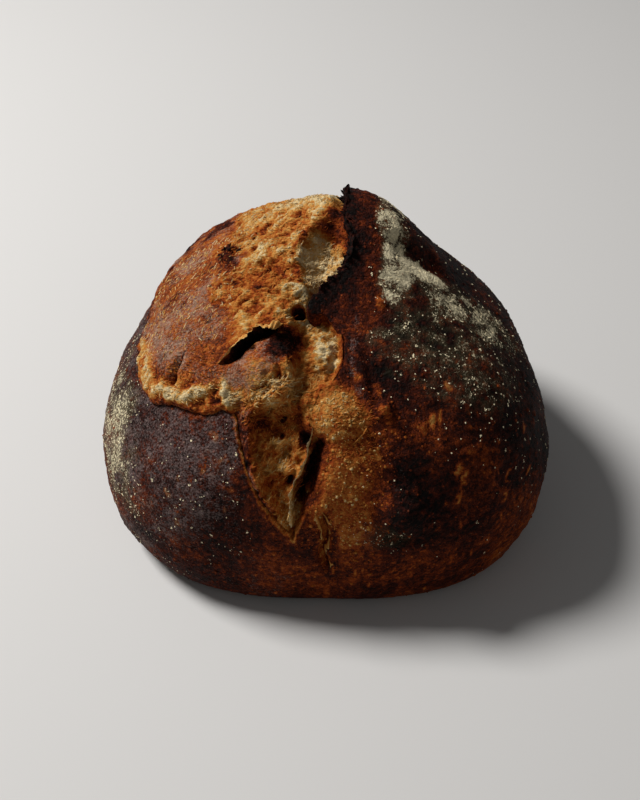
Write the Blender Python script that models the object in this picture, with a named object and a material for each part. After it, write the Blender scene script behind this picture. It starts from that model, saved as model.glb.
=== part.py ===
"""Round sourdough loaf with a torn, open top: one closed solid, in metres, +Z up.

The crust is one sheet that wraps the crumb from the crown to the foot. Every place on it has an
address (u, v) in millimetres on the crust map: the distance from the crown along the crust, with
+u to the loaf's right and +v to its back. Tears, bulges and hollows are laid out on that map and
raise or sink the crust along its outward direction.
"""

import bmesh
import bpy
import numpy as np

MM = 0.001

# The body: a dome on a rounded foot.
HALF_WIDTH = 110.0
HALF_DEPTH = 109.0
PLAN_POWER = 2.3  # 2 is an ellipse, more is squarer
GIRTH_Z = 42.0  # height of the widest level
DOME_H = 93.0  # from the widest level to the crown
DOME_POWER = 2.0
FOOT_SHARE = 0.86  # flat foot's size against the widest level's
FOOT_POWER = 2.5
TAPER = 0.02  # how much wider the back is than the front
TRIANGLE = -0.048  # pull towards a three-sided plan, with its point at the back
SLANT = -0.011
PLACE = (-0.4, -7.3)  # moves the loaf so that its box stands centred on the origin
BACK_RIDGE = (8.0, 52.0, 3.0)  # centre x, spread and height of the low ridge along the top
EAR_LIFT = (24.0, 14.0, 24.0, 24.0)  # centre x and y, spread and height of the lifted right flap

# The grid that is folded over the loaf.
CELLS = 66
GRID_SHIFT = (-14.0, -46.0)  # the middle of the grid lies in the tear, where the detail is
GRID_EVEN = 0.66  # share of even spacing; the rest is finer in the middle
DRAW_SHARE = 0.6  # how far the grid is drawn in towards a tear's edge
DRAW_REACH = 8.0
SOFTEN_REACH = 6.0  # the relief is softened inside the tear and this far outside it
SOFTEN_PASSES = 2

# Tears on the crust map. Each edge runs from the loaf's back or left to its front.
LEFT_EDGE = [
    (2, 112), (-12, 92), (-42, 80), (-74, 63), (-92, 36), (-95, 4), (-92, -30),
    (-83, -54), (-70, -62), (-56, -72), (-46, -73), (-44, -92), (-41, -115), (-32, -135), (-21, -147),
]
RIGHT_EDGE = [
    (2, 112), (11, 84), (13, 50), (14, 18), (14, -2), (13, -14), (9, -23), (3, -30), (-5, -38), (3, -44),
    (8, -50), (9, -58), (8, -66), (3, -74), (-4, -80), (-8, -89), (-6, -96), (0, -102), (-4, -117), (-10, -128),
    (-21, -147),
]
LOBE_EDGE = [
    (2, 106), (8, 70), (8, 36), (4, 14), (-3, 2), (-8, -8), (-7, -24), (-11, -37), (-17, -50),
    (-16, -66), (-22, -77), (-38, -82), (-38, -112), (-29, -134), (-21, -147),
]
CREVICE = [(-47, -56), (-40, -50), (-32, -44), (-24, -43), (-17, -45)]
MEMBRANE = [(-6, -93), (-8, -103), (-13, -114), (-18, -121), (-20, -131), (-20, -147)]
SLOT = [(-3, -99), (-4, -106), (-8, -115), (-13, -124), (-17, -135)]
SIDE_TEAR = [(-4, -133), (0, -143), (1, -151), (-2, -158), (3, -170)]
FLOUR_CREASE = [(31, 2), (36, -5), (47, -5), (58, 3)]

# Heights above the crust's own level, in millimetres: negative is sunk.
LOBE_SWELL = 6.0
LOBE_BAND = 3.0
EDGE_GROOVE = -4.0
VALLEY = -6.5
EAR_LIP = 6.0
CREVICE_DEPTH = -10.0
CREVICE_LIP = 3.0
SLOT_DEPTH = -5.0
MEMBRANE_RIDGE = 3.0
SIDE_TEAR_DEPTH = -4.0
CREASE_DEPTH = -3.5
# Round swells and hollows: (u, v), half sizes along and across, turn in degrees, height.
SWELLS = {
    "pocket": ((3, -13), 20, 12, 90, -8.0),
    "hole": ((-12, -39), 5, 4, 90, -10.0),
    "crumb_wall": ((1, -56), 12, 18, 0, 3.5),
    "bridge": ((-20, -80), 18, 8, 0, 4.0),
    "mound": ((-28, -61), 18, 13, 20, 3.0),
    "golden_bulge": ((7, -90), 15, 13, 0, 3.5),
    "fold": ((17, -64), 22, 4, 105, 2.0),
    "wedge_bubble": ((-22, -105), 8, 6, 60, -4.0),
    "dark_bubble": ((-21, -119), 6, 5, 45, -3.0),
    "foot_bubble": ((-26, -134), 8, 6, 110, -3.5),
    "burnt_hump": ((47, -126), 19, 17, 0, 4.0),
    "hump_dimple": ((50, -140), 14, 5, 10, -2.0),
    "blister": ((29, -81), 7, 5, 60, 3.0),
    "left_shoulder": ((-78, -100), 45, 38, 30, 2.0),
    "right_shoulder": ((70, -60), 60, 45, 0, 1.5),
}


def side_profile():
    """The mean side outline: distance along the crust, share of the plan radius, and height."""
    rise = np.radians(np.linspace(90, 0, 240))
    fall = np.radians(np.linspace(0, 90, 80))[1:]
    dome_share = np.cos(rise) ** (2 / DOME_POWER)
    dome_z = GIRTH_Z + DOME_H * np.sin(rise) ** (2 / DOME_POWER)
    foot_share = FOOT_SHARE + (1 - FOOT_SHARE) * np.clip(np.cos(fall), 0, 1) ** (2 / FOOT_POWER)
    foot_z = GIRTH_Z * (1 - np.sin(fall) ** (2 / FOOT_POWER))
    share = np.concatenate([dome_share, foot_share])
    z = np.concatenate([dome_z, foot_z])
    mean_radius = (HALF_WIDTH + HALF_DEPTH) / 2
    steps = np.hypot(np.diff(share * mean_radius), np.diff(z))
    return np.concatenate([[0.0], np.cumsum(steps)]), share, z


ALONG, SHARE, HEIGHT = side_profile()
CRUST_LENGTH = ALONG[-1]  # from the crown to the foot's edge


def plan_radius(turn):
    """The widest level's radius: a superellipse with three soft corners."""
    c, s = np.cos(turn), np.sin(turn)
    squarish = (np.abs(c / HALF_WIDTH) ** PLAN_POWER + np.abs(s / HALF_DEPTH) ** PLAN_POWER) ** (-1 / PLAN_POWER)
    return squarish * (1 + TAPER * s + TRIANGLE * np.sin(3 * turn) + SLANT * np.sin(2 * turn))


def crust(u, v):
    """The place in space of a map address, before any tear or swelling."""
    along, turn = np.hypot(u, v), np.arctan2(v, u)
    radius = np.interp(along, ALONG, SHARE) * plan_radius(turn)
    z = np.interp(along, ALONG, HEIGHT)
    x, y = radius * np.cos(turn), radius * np.sin(turn)
    up = np.clip((z - GIRTH_Z) / DOME_H, 0, 1)
    ridge_x, ridge_spread, ridge_h = BACK_RIDGE
    ear_x, ear_y, ear_spread, ear_h = EAR_LIFT
    z = z + up * ridge_h * np.exp(-(((x - ridge_x) / ridge_spread) ** 2))
    z = z + up * ear_h * np.exp(-((x - ear_x) ** 2 + (y - ear_y) ** 2) / (2 * ear_spread**2))
    return np.stack([x + PLACE[0], y + PLACE[1], z], axis=-1)


def outward(u, v):
    """The crust's unit normal at a map address, from its slopes along u and v."""
    step = 0.5
    along_u = crust(u + step, v) - crust(u - step, v)
    along_v = crust(u, v + step) - crust(u, v - step)
    normal = np.cross(along_u, along_v)
    return normal / np.linalg.norm(normal, axis=-1, keepdims=True)


def smooth(x):
    """0 below 0, 1 above 1, and an S-curve between."""
    x = np.clip(x, 0, 1)
    return x * x * (3 - 2 * x)


def flowing(points, per_span=5):
    """A Catmull-Rom curve through the points, as a denser list of points."""
    p = np.array(points, float)
    p = np.vstack([2 * p[0] - p[1], p, 2 * p[-1] - p[-2]])
    t = np.linspace(0, 1, per_span, endpoint=False)[:, None]
    spans = [
        0.5 * (2 * b + (c - a) * t + (2 * a - 5 * b + 4 * c - d) * t**2 + (3 * b - a - 3 * c + d) * t**3)
        for a, b, c, d in zip(p[:-3], p[1:-2], p[2:-1], p[3:])
    ]
    return np.vstack([*spans, p[-2:-1]])


def measure(path, u, v):
    """Distance from each address to the path, positive on its left, the share of the path's length
    there, and the unit direction across the path towards the address."""
    a, b = path[:-1], path[1:]
    run = b - a
    length = np.hypot(run[:, 0], run[:, 1])
    from_start = np.stack([u, v], -1)[:, None] - a
    t = np.clip((from_start * run).sum(-1) / length**2, 0, 1)
    away = from_start - t[..., None] * run
    gap = np.hypot(away[..., 0], away[..., 1])
    near = gap.argmin(1)
    rows = np.arange(len(u))
    side = np.sign(run[near, 0] * from_start[rows, near, 1] - run[near, 1] * from_start[rows, near, 0])
    share = (np.concatenate([[0], np.cumsum(length)])[near] + t[rows, near] * length[near]) / length.sum()
    across = away[rows, near] / np.maximum(gap[rows, near], 1e-6)[:, None]
    return gap[rows, near] * side, share, across


def inset(outline, u, v):
    """How far inside a closed outline each address lies, negative outside it."""
    gap, _, _ = measure(np.vstack([outline, outline[:1]]), u, v)
    a, b = outline, np.roll(outline, -1, axis=0)
    spans = (a[:, 1] > v[:, None]) != (b[:, 1] > v[:, None])
    fall = np.where(np.abs(b[:, 1] - a[:, 1]) < 1e-9, 1e-9, b[:, 1] - a[:, 1])
    crossing = a[:, 0] + (v[:, None] - a[:, 1]) * (b[:, 0] - a[:, 0]) / fall
    within = (spans & (u[:, None] < crossing)).sum(1) % 2 == 1
    return np.abs(gap) * np.where(within, 1, -1)


def swell(u, v, centre, half_long, half_wide, turn):
    """A round bump, 1 in the middle and 0 at the rim: (1 - q squared) squared."""
    c, s = np.cos(np.radians(turn)), np.sin(np.radians(turn))
    du, dv = u - centre[0], v - centre[1]
    q = ((du * c + dv * s) / half_long) ** 2 + ((dv * c - du * s) / half_wide) ** 2
    return np.clip(1 - q, 0, 1) ** 2


def fade(share, ends=0.15):
    """1 along a path and 0 at its two ends."""
    return smooth(share / ends) * smooth((1 - share) / ends)


def groove(path, u, v, width, depth):
    """A rounded groove along a path, which fades at both ends."""
    side, share, _ = measure(path, u, v)
    return depth * fade(share) * np.exp(-((side / width) ** 2))


def tear_outline():
    """The whole tear: down its left edge and back up its right one."""
    return np.vstack([flowing(LEFT_EDGE), flowing(RIGHT_EDGE)[::-1][1:-1]])


def relief(u, v):
    """Height above the crust's own level at each address, in millimetres."""
    right, lobe = flowing(RIGHT_EDGE), flowing(LOBE_EDGE)
    torn = inset(tear_outline(), u, v)
    valley = inset(np.vstack([lobe, right[::-1][1:-1]]), u, v)
    height = EDGE_GROOVE * np.exp(-(((torn - 1.5) / 3.2) ** 2))
    on_lobe = smooth(torn / 16) * (1 - smooth(valley / 4 + 0.5))
    height += LOBE_SWELL * on_lobe
    height += LOBE_BAND * np.exp(-((torn - 7) ** 2) / 18) * smooth((-20 - v) / 15) * (1 - smooth(valley / 4 + 0.5))
    height += VALLEY * smooth(valley / 5)
    side, share, _ = measure(right, u, v)
    flap = smooth(share / 0.12) * smooth((0.52 - share) / 0.12)
    height += EAR_LIP * flap * np.exp(-np.abs(side) / 12) * (1 - smooth(valley / 4))
    lip, share, _ = measure(flowing(CREVICE), u, v)
    above = smooth(lip / 5 + 0.5) * fade(share, 0.3)
    below = smooth(0.5 - lip / 5) * fade(share, 0.3)
    height += CREVICE_DEPTH * below * np.exp(-((lip / 6) ** 2)) + CREVICE_LIP * above * np.exp(-((lip / 8) ** 2))
    height += groove(flowing(SLOT), u, v, 5.0, SLOT_DEPTH)
    height += groove(flowing(MEMBRANE), u, v, 3.5, MEMBRANE_RIDGE)
    height += groove(flowing(SIDE_TEAR), u, v, 3.0, SIDE_TEAR_DEPTH)
    height += groove(flowing(FLOUR_CREASE), u, v, 5.0, CREASE_DEPTH)
    for centre, half_long, half_wide, turn, h in SWELLS.values():
        height += h * swell(u, v, centre, half_long, half_wide, turn)
    to_foot = (CRUST_LENGTH - np.hypot(u, v)) / 25
    return height * smooth(to_foot)


def folded_grid(x, y):
    """Map addresses for a square grid from -1 to 1: the square becomes a disc of the crust's length,
    finer in the middle, which lies in the tear, and drawn in towards the tear's edges."""
    disc_x = x * np.sqrt(1 - y**2 / 2)
    disc_y = y * np.sqrt(1 - x**2 / 2)
    reach = np.hypot(disc_x, disc_y)
    spread = CRUST_LENGTH * (GRID_EVEN + (1 - GRID_EVEN) * reach**2)
    inner = np.clip(1 - reach**2, 0, 1)
    u = disc_x * spread + GRID_SHIFT[0] * inner
    v = disc_y * spread + GRID_SHIFT[1] * inner
    nearest = np.full(u.shape, np.inf)
    draw = np.zeros((len(u), 2))
    for edge in (LEFT_EDGE, LOBE_EDGE, RIGHT_EDGE, CREVICE):
        side, _, across = measure(flowing(edge), u, v)
        gap = np.abs(side)
        pull = DRAW_SHARE * np.exp(-((gap / DRAW_REACH) ** 2)) * np.clip(inner * 6, 0, 1)
        closer = gap < nearest
        draw[closer] = (across * (gap * pull)[:, None])[closer]
        nearest = np.minimum(nearest, gap)
    return u - draw[:, 0], v - draw[:, 1]


def clear_scene():
    for obj in list(bpy.data.objects):
        bpy.data.objects.remove(obj)


def crust_material():
    material = bpy.data.materials.new("dark_crust")
    material.use_nodes = True
    shader = material.node_tree.nodes["Principled BSDF"]
    shader.inputs["Base Color"].default_value = (0.095, 0.042, 0.022, 1)
    shader.inputs["Roughness"].default_value = 0.62
    shader.inputs["Metallic"].default_value = 0.0
    return material


def loaf():
    """A grid folded over the dome, closed by one flat face where the loaf stands."""
    bm = bmesh.new()
    bmesh.ops.create_grid(bm, x_segments=CELLS, y_segments=CELLS, size=1)
    flat = np.array([vertex.co for vertex in bm.verts])
    u, v = folded_grid(flat[:, 0], flat[:, 1])
    places = crust(u, v) + outward(u, v) * relief(u, v)[:, None]
    on_foot = np.hypot(u, v) > CRUST_LENGTH - 0.01
    places[on_foot, 2] = 0.0
    for vertex, place in zip(bm.verts, places * MM):
        vertex.co = place
    softened = [vertex for vertex, gap in zip(bm.verts, inset(tear_outline(), u, v)) if gap > -SOFTEN_REACH]
    for _ in range(SOFTEN_PASSES):
        bmesh.ops.smooth_vert(bm, verts=softened, factor=0.5, use_axis_x=True, use_axis_y=True, use_axis_z=True)
    bmesh.ops.holes_fill(bm, edges=[edge for edge in bm.edges if edge.is_boundary], sides=0)
    bmesh.ops.recalc_face_normals(bm, faces=bm.faces)
    mesh = bpy.data.meshes.new("loaf")
    bm.to_mesh(mesh)
    bm.free()
    mesh.shade_smooth()
    mesh.materials.append(crust_material())
    return bpy.data.objects.new("loaf", mesh)


def main():
    clear_scene()
    parts = bpy.data.collections.new("sourdough_loaf")
    bpy.context.scene.collection.children.link(parts)
    parts.objects.link(loaf())


main()
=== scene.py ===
"""The looks of a round sourdough loaf: a dark, floury crust over a torn, golden top.

Every surface is worked out on the crust map: an address (u, v) is a distance in millimetres along
the crust from the crown, +u to the loaf's right and +v to its back. crust() gives the address's
place on the plain dome, and each piece adds its own relief along the outward direction there.
"""

import bpy
import numpy as np
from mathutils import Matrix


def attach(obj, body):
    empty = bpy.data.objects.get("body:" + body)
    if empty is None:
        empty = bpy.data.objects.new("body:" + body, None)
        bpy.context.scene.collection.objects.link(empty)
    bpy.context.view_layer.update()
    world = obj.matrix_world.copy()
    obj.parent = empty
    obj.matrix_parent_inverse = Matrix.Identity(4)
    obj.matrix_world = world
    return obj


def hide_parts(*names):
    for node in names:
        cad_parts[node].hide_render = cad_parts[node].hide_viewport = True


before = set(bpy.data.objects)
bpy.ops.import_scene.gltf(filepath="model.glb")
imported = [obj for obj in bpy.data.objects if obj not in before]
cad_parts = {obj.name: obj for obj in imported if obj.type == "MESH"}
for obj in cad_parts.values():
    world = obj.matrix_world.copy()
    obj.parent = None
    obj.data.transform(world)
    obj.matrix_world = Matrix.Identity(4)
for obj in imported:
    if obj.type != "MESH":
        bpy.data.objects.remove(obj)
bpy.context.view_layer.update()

MM = 0.001

# The body, as in the solid.
HALF_WIDTH = 110
HALF_DEPTH = 109
PLAN_POWER = 2.3
GIRTH_Z = 42
DOME_H = 93
DOME_POWER = 2
FOOT_SHARE = 0.86
FOOT_POWER = 2.5
TAPER = 0.02
TRIANGLE = -0.048
SLANT = -0.011
PLACE = (-0.4, -7.3)
BACK_RIDGE = (8, 52, 3)
EAR_LIFT = (24, 14, 24, 24)

# The tears, as in the solid.
LEFT_EDGE = [
    (2, 112), (-12, 92), (-42, 80), (-74, 63), (-92, 36), (-95, 4), (-92, -30),
    (-83, -54), (-70, -62), (-56, -72), (-46, -73), (-44, -92), (-41, -115), (-32, -135), (-21, -147),
]
RIGHT_EDGE = [
    (2, 112), (11, 84), (13, 50), (14, 18), (14, -2), (13, -14), (9, -23), (3, -30), (-5, -38),
    (3, -44), (8, -50), (9, -58), (8, -66), (3, -74), (-4, -80), (-8, -89), (-6, -96), (0, -102),
    (-4, -117), (-10, -128), (-21, -147),
]
LOBE_EDGE = [
    (2, 106), (8, 70), (8, 36), (4, 14), (-3, 2), (-8, -8), (-7, -24), (-11, -37), (-17, -50),
    (-16, -66), (-22, -77), (-38, -82), (-38, -112), (-29, -134), (-21, -147),
]
CREVICE = [(-47, -56), (-40, -50), (-32, -44), (-24, -43), (-17, -45)]
MEMBRANE = [(-6, -93), (-8, -103), (-13, -114), (-18, -121), (-20, -131), (-20, -147)]
SLOT = [(-3, -99), (-4, -106), (-8, -115), (-13, -124), (-17, -135)]
SIDE_TEAR = [(-4, -133), (0, -143), (1, -151), (-2, -158), (3, -170)]
FLOUR_CREASE = [(31, 2), (36, -5), (47, -5), (58, 3)]
SKIN_CRACK = [(-60, -44), (-67, -51), (-71, -60)]
SIDE_CRACK = [(-46, -74), (-52, -80), (-58, -86)]
BRIDGE_LIP = [(-41, -77), (-30, -73), (-20, -75), (-6, -79)]
BULGE_LIP = [(21, -91), (19, -96), (15, -100)]
GREY_FOLD = [(15, -34), (14, -52), (13, -61), (15, -73), (22, -83)]
TAN_BUMPS = [(29, -81), (24, -31), (16, -69), (27, -103), (25, -72)]
PALE_SPOTS = [
    (-55, -86), (-53, -97), (-78, -98), (-86, -102), (-63, -99), (-52, -113), (-43, -120),
    (-59, -122), (-90, -118),
]
STREAKS = [
    (69, -96), (73, -99), (98, -87), (102, -97), (74, -110), (102, -62), (115, -78), (54, -75),
    (51, -79), (56, -59),
]
FLOUR_SPOTS = [(66, -40), (47, -31), (83, -36)]

LOBE_SWELL = 6
LOBE_BAND = 3.4
EDGE_GROOVE = -4
VALLEY = -6.5
EAR_LIP = 6
CREVICE_DEPTH = -15
CREVICE_LIP = 3.2
SLOT_DEPTH = -12
MEMBRANE_RIDGE = 4.5
SIDE_TEAR_DEPTH = -6
CREASE_DEPTH = -3.5
BED_DEPTH = -26  # the crust's own floor, hidden under the torn crumb
CRUMB_DIVE = -11  # the torn crumb's hidden rim, under the crust

# Round swells and hollows: (u, v), half sizes along and across, turn in degrees, height.
CRUST_SWELLS = {
    "burnt_hump": ((47, -126), 19, 17, 0, 6),
    "hump_dimple": ((50, -140), 14, 5, 10, -2),
    "blister": ((29, -81), 7, 5, 60, 3),
    "small_blister": ((24, -31), 3.4, 3.4, 0, 1.4),
    "golden_bulge": ((7, -90), 15, 13, 0, 3.5),
    "fold": ((17, -64), 22, 4, 105, 2),
    "left_shoulder": ((-78, -100), 45, 38, 30, 2),
    "right_shoulder": ((70, -60), 60, 45, 0, 1.5),
}
CRUMB_SWELLS = {
    "hole": ((-12.5, -37.5), 4.5, 3.6, 90, -12),
    "burnt_fleck": ((-44, 5), 9, 5, 75, 2.4),
    "crumb_wall": ((1, -56), 12, 18, 0, 3.5),
    "bridge": ((-20, -80), 18, 8, 0, 4),
    "wedge_wall": ((-36, -104), 11, 26, 0, 4),
    "mound": ((-28, -61), 18, 13, 20, 3),
    "wedge_bubble": ((-22, -105), 8, 6, 60, -4),
    "dark_bubble": ((-21, -119), 5, 4, 45, -6),
    "foot_bubble": ((-26, -134), 8, 6, 110, -1),
}

# How many are tried of each scattered thing.
EAR_SHREDS, LOBE_SHREDS = 110, 26
FLOUR_SEEDS, BLISTERS = 16000, 12000

# Soft tones on the browning: (u, v), half sizes, turn, softness of the rim, amount.
CRUST_TONES = {
    "front_foot": ((-30, -158), 46, 22, -8, 0.7, -0.05),
    "below_tear": ((12, -168), 26, 20, 0, 0.6, -0.1),
    "right_band": ((60, -86), 28, 12, 0, 0.6, -0.05),
    "burnt_hump": ((44, -122), 20, 17, 0, 0.9, 0.15),
}
CRUMB_TONES = {
    "lobe_middle": ((-14, 24), 18, 22, 0, 0.6, -0.1),
    "lobe_top": ((-14, 56), 24, 14, 0, 0.6, -0.15),
    "bridge_left": ((-36, -68), 17, 9, 0, 0.5, -0.18),
    "bridge": ((-18, -72), 12, 7, 0, 0.5, -0.12),
}
BENT_TONES = {
    "purple_hollow": ((-42, -14), 11, 5, 80, 0.6, 0.17),
    "orange_hollow": ((-20, -15), 13, 5.5, 0, 0.5, 0.16),
    "pale_shelf": ((-8, -27), 11, 6, 0, 0.6, -0.14),
}

# Discs of bubbles: (u, v), reach, how many, smallest and largest radius, depth share, seed.
WALL_BUBBLES = ((-3, -56), 17, 110, (0.9, 3), 0.6, 81)
BUBBLES = [
    ((2, -13), 15, 34, (1, 3.6), 0.6, 83),
    ((-24, -112), 20, 80, (0.6, 2.4), 0.8, 87),
    ((-8, 26), 24, 60, (0.6, 2), 0.35, 89),
    ((-22, -82), 18, 50, (0.6, 2), 0.8, 90),
]

# Small holes whose floors are painted near-black as painted shade: (u, v), half sizes, turn, softness,
# browning.
SHADED_HOLES = [
    ((-12.5, -37.5), 3.8, 3, 90, 0.25, 0.93),
    ((-21, -119), 3, 2.2, 45, 0.3, 0.9),
    ((-23, -96), 2, 1.4, 45, 0.3, 0.85),
    ((-22, -88), 2.2, 1.5, 20, 0.3, 0.88),
]

# The crust's grid: its middle moved towards the tear, and how even its cells are there.
CRUST_CELLS = 287
GRID_SHIFT = (-14, -46)
GRID_EVEN = 0.62

# The torn top's grid: its part of the map, its cells, and the point inside the loaf that shuts it.
CRUMB_U, CRUMB_V = (-108, 26), (-158, 124)
CRUMB_COLUMNS, CRUMB_ROWS = 222, 434
CRUMB_TIP = (-30, -10, 60)


# ---- the crust map


def side_profile():
    """The mean side outline: distance along the crust, share of the plan radius, and height."""
    rise = np.radians(np.linspace(90, 0, 240))
    fall = np.radians(np.linspace(0, 90, 80))[1:]
    dome_share = np.cos(rise) ** (2 / DOME_POWER)
    dome_z = GIRTH_Z + DOME_H * np.sin(rise) ** (2 / DOME_POWER)
    foot_share = FOOT_SHARE + (1 - FOOT_SHARE) * np.clip(np.cos(fall), 0, 1) ** (2 / FOOT_POWER)
    foot_z = GIRTH_Z * (1 - np.sin(fall) ** (2 / FOOT_POWER))
    share = np.concatenate([dome_share, foot_share])
    z = np.concatenate([dome_z, foot_z])
    steps = np.hypot(np.diff(share * (HALF_WIDTH + HALF_DEPTH) / 2), np.diff(z))
    return np.concatenate([[0], np.cumsum(steps)]), share, z


ALONG, SHARE, HEIGHT = side_profile()
CRUST_LENGTH = ALONG[-1]


def plan_radius(turn):
    """The widest level's radius: a superellipse with three soft corners."""
    c, s = np.cos(turn), np.sin(turn)
    wide, deep = np.abs(c / HALF_WIDTH) ** PLAN_POWER, np.abs(s / HALF_DEPTH) ** PLAN_POWER
    squarish = (wide + deep) ** (-1 / PLAN_POWER)
    return squarish * (1 + TAPER * s + TRIANGLE * np.sin(3 * turn) + SLANT * np.sin(2 * turn))


def crust(u, v):
    """The place in space of a map address, before any tear or swelling."""
    along, turn = np.hypot(u, v), np.arctan2(v, u)
    radius = np.interp(along, ALONG, SHARE) * plan_radius(turn)
    z = np.interp(along, ALONG, HEIGHT)
    x, y = radius * np.cos(turn), radius * np.sin(turn)
    up = np.clip((z - GIRTH_Z) / DOME_H, 0, 1)
    ridge_x, ridge_spread, ridge_h = BACK_RIDGE
    ear_x, ear_y, ear_spread, ear_h = EAR_LIFT
    z = z + up * ridge_h * bell(x - ridge_x, ridge_spread)
    z = z + up * ear_h * np.exp(-((x - ear_x) ** 2 + (y - ear_y) ** 2) / (2 * ear_spread**2))
    return np.stack([x + PLACE[0], y + PLACE[1], z], axis=-1)


def unit(vectors):
    """Each vector over its own length."""
    return vectors / np.maximum(np.linalg.norm(vectors, axis=-1, keepdims=True), 1e-9)


def directions(u, v):
    """At each address: the unit steps in space for +u and +v, and the outward direction."""
    step = 0.5
    along_u = unit(crust(u + step, v) - crust(u - step, v))
    along_v = unit(crust(u, v + step) - crust(u, v - step))
    return along_u, along_v, unit(np.cross(along_u, along_v))


def in_space(along_u, along_v, way):
    """Directions on the map as directions in space."""
    return along_u * way[:, :1] + along_v * way[:, 1:]


# ---- curves, masks and noise


def smooth(x):
    """0 below 0, 1 above 1, and an S-curve between."""
    x = np.clip(x, 0, 1)
    return x * x * (3 - 2 * x)


def bell(x, width):
    """1 at 0, falling to 1 / e at the width on both sides."""
    return np.exp(-((x / width) ** 2))


def without(*masks):
    """1 where all the masks are 0: the product of one less each."""
    return np.prod([1 - mask for mask in masks], axis=0)


def rising(x, start, width):
    """0 up to the start, an S-curve over the width, and 1 after it."""
    return smooth((x - start) / width)


def falling(x, end, width):
    """1, then an S-curve over the width, and 0 from the end on."""
    return smooth((end - x) / width)


def between(x, low, high, rise, drop):
    """0 up to low, 1 after the rise, and back to 0 over the drop that ends at high."""
    return rising(x, low, rise) * falling(x, high, drop)


def flowing(points, per_span=6):
    """A Catmull-Rom curve through the points, as a denser list of points."""
    p = np.array(points, float)
    p = np.vstack([2 * p[0] - p[1], p, 2 * p[-1] - p[-2]])
    t = np.linspace(0, 1, per_span, endpoint=False)[:, None]
    spans = [
        b + 0.5 * ((c - a) * t + (2 * a - 5 * b + 4 * c - d) * t**2 + (3 * b - a - 3 * c + d) * t**3)
        for a, b, c, d in zip(p[:-3], p[1:-2], p[2:-1], p[3:])
    ]
    return np.vstack([*spans, p[-2:-1]])


def measure(path, u, v):
    """Distance from each address to the path, positive on its left, the share of the path's length
    there, and the unit direction across the path towards the address: the nearest of its spans."""
    run = np.diff(path, axis=0)
    length = np.hypot(run[:, 0], run[:, 1])
    start = np.concatenate([[0], np.cumsum(length)])
    best = np.full(u.shape, 1e12)
    side, share, off_u, off_v = (np.zeros(u.shape) for _ in range(4))
    for k in range(len(run)):
        du, dv = u - path[k, 0], v - path[k, 1]
        t = np.clip((du * run[k, 0] + dv * run[k, 1]) / length[k] ** 2, 0, 1)
        gap_u, gap_v = du - t * run[k, 0], dv - t * run[k, 1]
        gap = gap_u**2 + gap_v**2
        near = gap < best
        best = np.where(near, gap, best)
        side = np.where(near, np.sign(run[k, 0] * dv - run[k, 1] * du), side)
        share = np.where(near, (start[k] + t * length[k]) / start[-1], share)
        off_u, off_v = np.where(near, gap_u, off_u), np.where(near, gap_v, off_v)
    gap = np.sqrt(best)
    across = np.stack([off_u, off_v], -1) / np.maximum(gap, 1e-6)[..., None]
    return gap * side, share, across


def inset(outline, u, v):
    """How far inside a closed outline each address lies, negative outside it, and the direction in.
    An address is inside where a line to its right crosses the outline an odd number of times."""
    closed = np.vstack([outline, outline[:1]])
    gap, _, across = measure(closed, u, v)
    crossings = np.zeros(u.shape, int)
    for (a_u, a_v), (b_u, b_v) in zip(closed[:-1], closed[1:]):
        if a_v != b_v:
            crossings += ((a_v > v) != (b_v > v)) & (u < a_u + (v - a_v) * (b_u - a_u) / (b_v - a_v))
    sign = np.where(crossings % 2 == 1, 1, -1)
    return np.abs(gap) * sign, across * sign[..., None]


def turned(u, v, angle):
    """The addresses seen from axes turned by an angle in degrees."""
    c, s = np.cos(np.radians(angle)), np.sin(np.radians(angle))
    return u * c + v * s, v * c - u * s


def ellipse(u, v, centre, half_long, half_wide, turn):
    """The squared distance from an ellipse's middle: 0 there and 1 on the ellipse."""
    along, across = turned(u - centre[0], v - centre[1], turn)
    return (along / half_long) ** 2 + (across / half_wide) ** 2


def swells(u, v, table):
    """The sum of round bumps: each is its height times (1 - q squared) squared, 0 from its rim on."""
    rows = table.values()
    return sum(height * np.clip(1 - ellipse(u, v, *place), 0, 1) ** 2 for *place, height in rows)


def patch(u, v, centre, half_long, half_wide, turn=0, soft=0.5):
    """A mask that is 1 over an ellipse and falls to 0 across its soft rim."""
    q = np.sqrt(ellipse(u, v, centre, half_long, half_wide, turn))
    return smooth((1 + soft - q) / (2 * soft))


def tones(u, v, table):
    """The sum of soft patches, each times its own amount."""
    return sum(amount * patch(u, v, *place) for *place, amount in table.values())


def fade(share, ends=0.15):
    """1 along a path and 0 at its two ends."""
    return smooth(share / ends) * smooth((1 - share) / ends)


def groove(points, u, v, width, depth, ends=0.15):
    """A rounded groove along a smooth path through points, which fades at both ends."""
    side, share, _ = measure(flowing(points), u, v)
    return depth * fade(share, ends) * bell(side, width)


def noise(points, size, seed, octaves=3):
    """Smooth noise between about -1 and 1: random values on a cubic lattice with S-curve blends,
    summed over octaves of half the size and half the height."""
    total, height = 0, 1
    for octave in range(octaves):
        table = np.random.default_rng(seed + octave).uniform(-1, 1, (37, 37, 37))
        scaled = points / (size / 2**octave)
        cell = np.floor(scaled).astype(int)
        part = smooth(scaled - cell)
        for corner in np.ndindex(2, 2, 2):
            weight = np.prod(np.where(corner, part, 1 - part), axis=-1)
            index = (cell + corner) % 37
            total = total + height * weight * table[index[..., 0], index[..., 1], index[..., 2]]
        height /= 2
    return total * 1.2


def ridges(points, size, seed, octaves=3):
    """Noise with sharp crests, 0 to about 1: one less the size of smooth noise."""
    return 1 - np.abs(noise(points, size, seed, octaves)) * 1.6


def stretched(u, v, angle, along, across):
    """Map addresses scaled so that noise on them has streaks at an angle to +u."""
    first, second = turned(u, v, angle)
    return np.stack([first / along, second / across, 0 * u], -1)


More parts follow.
